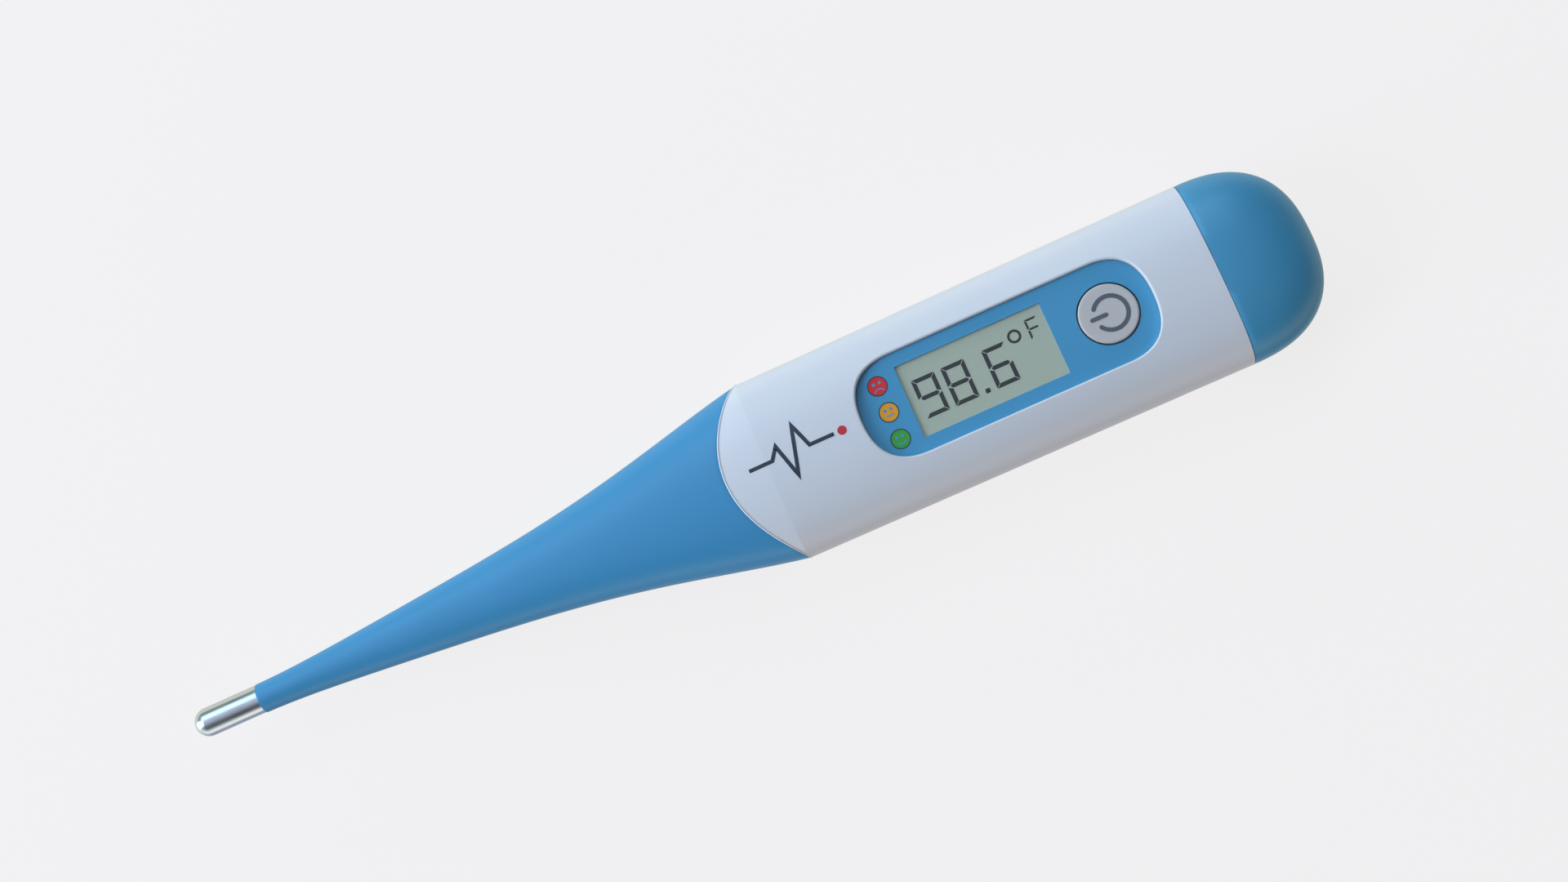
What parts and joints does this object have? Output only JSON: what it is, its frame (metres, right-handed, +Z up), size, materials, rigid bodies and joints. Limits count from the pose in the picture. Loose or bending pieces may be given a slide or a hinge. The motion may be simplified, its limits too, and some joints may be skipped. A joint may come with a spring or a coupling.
{
  "type": "digital thermometer",
  "caption": "Digital stick thermometer with a tapered flexible probe, metal tip, recessed display panel, round power button and pull-off battery cap.",
  "frame": {"origin": "centre of the footprint, on the surface that the flat underside rests on", "axes": "+X along the stick from the metal tip to the battery cap, +Y across it, +Z up out of the display"},
  "size_m": [0.132, 0.0208, 0.0116],
  "materials": {
    "white_shell": "smooth satin-gloss moulded ABS",
    "blue_sleeve": "soft satin thermoplastic rubber",
    "polished_steel": "polished stainless steel",
    "wire_insulation": "thin insulated wire",
    "bead_glass": "glass-coated bead",
    "epoxy": "cured epoxy",
    "blue_panel": "satin moulded plastic",
    "clear_lens": "clear acrylic",
    "light_red": "tinted translucent plastic",
    "light_amber": "tinted translucent plastic",
    "light_green": "tinted translucent plastic",
    "lcd_glass": "polarised display glass",
    "lcd_reflector": "matt reflector film",
    "white_foam": "stiff foam",
    "zebra_rubber": "layered conductive silicone",
    "white_inner": "moulded ABS",
    "grey_button": "satin moulded plastic",
    "silicone": "soft silicone",
    "black_plastic": "moulded nylon",
    "green_board": "glass-fibre board with solder mask",
    "led_epoxy": "milky epoxy",
    "black_epoxy": "glossy black blob",
    "chip_ceramic": "sintered chip parts",
    "tin_can": "drawn tin-plated can",
    "brass_plate": "rolled brass",
    "piezo_ceramic": "silvered ceramic",
    "contact_metal": "plated spring bronze",
    "tray_blue": "moulded plastic",
    "cell_steel": "nickel-plated steel",
    "cell_gasket": "nylon gasket",
    "seal_rubber": "soft rubber",
    "blue_cap": "satin-gloss moulded plastic"
  },
  "bodies": {
    "housing": {"main_housing": "white_shell", "probe_base": "blue_sleeve", "display_bezel": "blue_panel", "display_lens": "clear_lens", "fever_light_window": "light_red", "raised_light_window": "light_amber", "normal_light_window": "light_green", "lcd_front_glass": "lcd_glass", "lcd_rear_glass": "lcd_glass", "lcd_reflector": "lcd_reflector", "lcd_spacer": "white_foam", "zebra_strips": "zebra_rubber", "lcd_frame": "white_inner", "switch_body": "black_plastic", "circuit_board": "green_board", "status_leds": "led_epoxy", "controller_chip": "black_epoxy", "chip_resistors": "chip_ceramic", "chip_capacitors": "chip_ceramic", "timing_crystal": "tin_can", "beeper_plate": "brass_plate", "beeper_ceramic": "piezo_ceramic", "beeper_wires": "wire_insulation", "inner_chassis": "white_inner", "positive_contact": "contact_metal", "negative_contact": "contact_metal", "seal_ring": "seal_rubber", "lead_wires": "wire_insulation"},
    "sleeve_01": {"sleeve_segment_01": "blue_sleeve"},
    "sleeve_02": {"sleeve_segment_02": "blue_sleeve"},
    "sleeve_03": {"sleeve_segment_03": "blue_sleeve"},
    "sleeve_04": {"sleeve_segment_04": "blue_sleeve"},
    "sleeve_05": {"sleeve_segment_05": "blue_sleeve"},
    "sleeve_06": {"sleeve_segment_06": "blue_sleeve"},
    "sleeve_07": {"sleeve_segment_07": "blue_sleeve"},
    "sleeve_08": {"sleeve_segment_08": "blue_sleeve"},
    "sleeve_09": {"sleeve_segment_09": "blue_sleeve"},
    "sleeve_10": {"sleeve_segment_10": "blue_sleeve"},
    "sleeve_11": {"sleeve_segment_11": "blue_sleeve"},
    "sleeve_12": {"sleeve_segment_12": "blue_sleeve", "probe_tip": "polished_steel", "tip_potting": "epoxy", "thermistor_bead": "bead_glass"},
    "button": {"power_button": "grey_button", "button_pad": "silicone", "switch_plunger": "black_plastic"},
    "cap": {"battery_cap": "blue_cap"},
    "tray": {"battery_tray": "tray_blue"},
    "cell": {"cell_can": "cell_steel", "cell_gasket": "cell_gasket", "cell_lid": "cell_steel"}
  },
  "joints": [
    {"name": "probe_bend_1", "type": "hinge", "parent": "housing", "child": "sleeve_01", "pos_m": [-0.019, 0, 0.0062], "axis": [0.001, 1, 0], "range_deg": [-10, 10], "stiffness_Nm_per_rad": 0.01, "deforming": ["lead_wires"]},
    {"name": "probe_sway_1", "type": "hinge", "parent": "sleeve_01", "child": "sleeve_02", "pos_m": [-0.0222, 0, 0.0062], "axis": [0.001, 0, 1], "range_deg": [-6, 6], "stiffness_Nm_per_rad": 0.01},
    {"name": "probe_bend_2", "type": "hinge", "parent": "sleeve_02", "child": "sleeve_03", "pos_m": [-0.0254, 0, 0.0062], "axis": [0.001, 1, 0], "range_deg": [-10, 10], "stiffness_Nm_per_rad": 0.01},
    {"name": "probe_sway_2", "type": "hinge", "parent": "sleeve_03", "child": "sleeve_04", "pos_m": [-0.0286, 0, 0.0062], "axis": [0.001, 0, 1], "range_deg": [-6, 6], "stiffness_Nm_per_rad": 0.01},
    {"name": "probe_bend_3", "type": "hinge", "parent": "sleeve_04", "child": "sleeve_05", "pos_m": [-0.0318, 0, 0.0062], "axis": [0.001, 1, 0], "range_deg": [-10, 10], "stiffness_Nm_per_rad": 0.01},
    {"name": "probe_sway_3", "type": "hinge", "parent": "sleeve_05", "child": "sleeve_06", "pos_m": [-0.035, 0, 0.0062], "axis": [0.001, 0, 1], "range_deg": [-6, 6], "stiffness_Nm_per_rad": 0.01},
    {"name": "probe_bend_4", "type": "hinge", "parent": "sleeve_06", "child": "sleeve_07", "pos_m": [-0.0382, 0, 0.0062], "axis": [0.001, 1, 0], "range_deg": [-10, 10], "stiffness_Nm_per_rad": 0.01},
    {"name": "probe_sway_4", "type": "hinge", "parent": "sleeve_07", "child": "sleeve_08", "pos_m": [-0.0414, 0, 0.0062], "axis": [0.001, 0, 1], "range_deg": [-6, 6], "stiffness_Nm_per_rad": 0.01},
    {"name": "probe_bend_5", "type": "hinge", "parent": "sleeve_08", "child": "sleeve_09", "pos_m": [-0.0446, 0, 0.0062], "axis": [0.001, 1, 0], "range_deg": [-10, 10], "stiffness_Nm_per_rad": 0.01},
    {"name": "probe_sway_5", "type": "hinge", "parent": "sleeve_09", "child": "sleeve_10", "pos_m": [-0.0478, 0, 0.0062], "axis": [0.001, 0, 1], "range_deg": [-6, 6], "stiffness_Nm_per_rad": 0.01},
    {"name": "probe_bend_6", "type": "hinge", "parent": "sleeve_10", "child": "sleeve_11", "pos_m": [-0.051, 0, 0.0062], "axis": [0.001, 1, 0], "range_deg": [-10, 10], "stiffness_Nm_per_rad": 0.01},
    {"name": "probe_sway_6", "type": "hinge", "parent": "sleeve_11", "child": "sleeve_12", "pos_m": [-0.0542, 0, 0.0062], "axis": [0.001, 0, 1], "range_deg": [-6, 6], "stiffness_Nm_per_rad": 0.01},
    {"name": "button_press", "type": "slide", "parent": "housing", "child": "button", "axis": [0, 0, -1], "range_m": [0, 0.00045], "stiffness_N_per_m": 2500},
    {"name": "cap_pull", "type": "slide", "parent": "housing", "child": "cap", "axis": [1, 0, 0], "range_m": [0, 0.04]},
    {"name": "tray_slide", "type": "slide", "parent": "housing", "child": "tray", "axis": [1, 0, 0], "range_m": [0, 0.012]},
    {"name": "cell_slide", "type": "slide", "parent": "tray", "child": "cell", "axis": [1, 0, 0], "range_m": [0, 0.009]}
  ],
  "couplings": [
    {"joint": "probe_bend_2", "follows": "probe_bend_1", "ratio": 1},
    {"joint": "probe_sway_2", "follows": "probe_sway_1", "ratio": 1},
    {"joint": "probe_bend_3", "follows": "probe_bend_1", "ratio": 1},
    {"joint": "probe_sway_3", "follows": "probe_sway_1", "ratio": 1},
    {"joint": "probe_bend_4", "follows": "probe_bend_1", "ratio": 1},
    {"joint": "probe_sway_4", "follows": "probe_sway_1", "ratio": 1},
    {"joint": "probe_bend_5", "follows": "probe_bend_1", "ratio": 1},
    {"joint": "probe_sway_5", "follows": "probe_sway_1", "ratio": 1},
    {"joint": "probe_bend_6", "follows": "probe_bend_1", "ratio": 1},
    {"joint": "probe_sway_6", "follows": "probe_sway_1", "ratio": 1},
    {"joint": "tray_slide", "follows": "cap_pull", "ratio": 0.3},
    {"joint": "cell_slide", "follows": "cap_pull", "ratio": 0.225}
  ]
}
